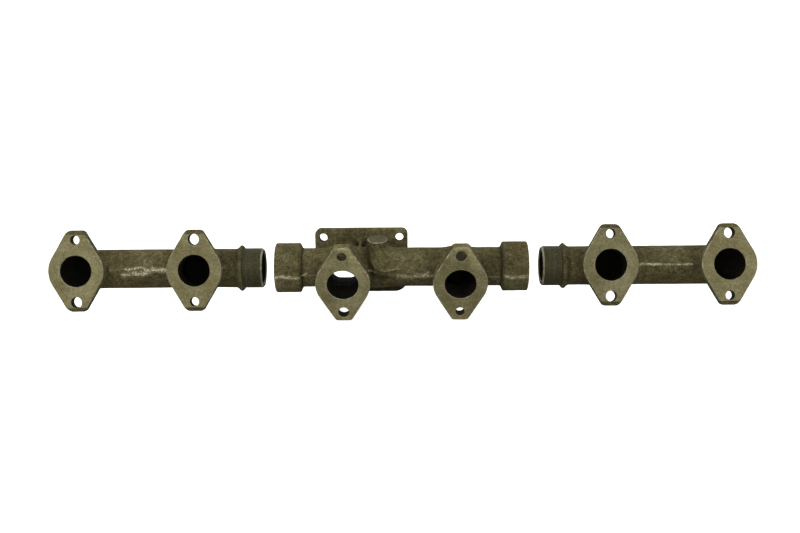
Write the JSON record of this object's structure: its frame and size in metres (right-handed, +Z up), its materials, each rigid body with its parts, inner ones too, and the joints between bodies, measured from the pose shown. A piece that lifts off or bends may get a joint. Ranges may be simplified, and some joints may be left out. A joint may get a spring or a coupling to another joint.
{
  "type": "exhaust manifold",
  "caption": "Sectional cast-iron log exhaust manifold with diamond port flanges, a tilted twin-entry turbocharger flange and slip-jointed end sections with split seal rings.",
  "frame": {"origin": "midway between the two centre ports, on the cylinder-head face of the centre casting, at the foot of the normal from the middle of the port row", "axes": "+X along the engine towards port six, -Y towards the cylinder head, +Z up"},
  "size_m": [0.898, 0.1278, 0.1193],
  "materials": {
    "cast_iron_body": "sand-cast, light oxide",
    "faced_flange": "milled",
    "turned_spigot": "turned",
    "seal_ring": "ground, phosphate-dark"
  },
  "bodies": {
    "centre_casting": {"left_centre_pipe": "cast_iron_body", "left_duct": "cast_iron_body", "right_duct": "cast_iron_body", "right_centre_pipe": "cast_iron_body", "port_flange_3": "faced_flange", "port_flange_4": "faced_flange", "turbo_flange": "faced_flange", "left_socket": "cast_iron_body", "right_socket": "cast_iron_body"},
    "left_seal_rings": {"left_outer_seal_ring": "seal_ring", "left_middle_seal_ring": "seal_ring", "left_inner_seal_ring": "seal_ring"},
    "left_casting": {"port_flange_1": "faced_flange", "port_flange_2": "faced_flange", "left_log_pipe": "cast_iron_body", "left_spigot": "turned_spigot"},
    "right_seal_rings": {"right_outer_seal_ring": "seal_ring", "right_middle_seal_ring": "seal_ring", "right_inner_seal_ring": "seal_ring"},
    "right_casting": {"port_flange_5": "faced_flange", "port_flange_6": "faced_flange", "right_log_pipe": "cast_iron_body", "right_spigot": "turned_spigot"}
  },
  "joints": [
    {"name": "left_twist", "type": "hinge", "parent": "centre_casting", "child": "left_seal_rings", "pos_m": [-0.1645, 0.051, 0], "axis": [1, 0, 0], "range_deg": [-336.5, 23.5]},
    {"name": "left_slip", "type": "slide", "parent": "left_seal_rings", "child": "left_casting", "axis": [1, 0, 0], "range_m": [0, 0.04]},
    {"name": "right_twist", "type": "hinge", "parent": "centre_casting", "child": "right_seal_rings", "pos_m": [0.1645, 0.051, 0], "axis": [1, 0, 0], "range_deg": [-332.5, 27.5]},
    {"name": "right_slip", "type": "slide", "parent": "right_seal_rings", "child": "right_casting", "axis": [-1, 0, 0], "range_m": [0, 0.042]}
  ]
}
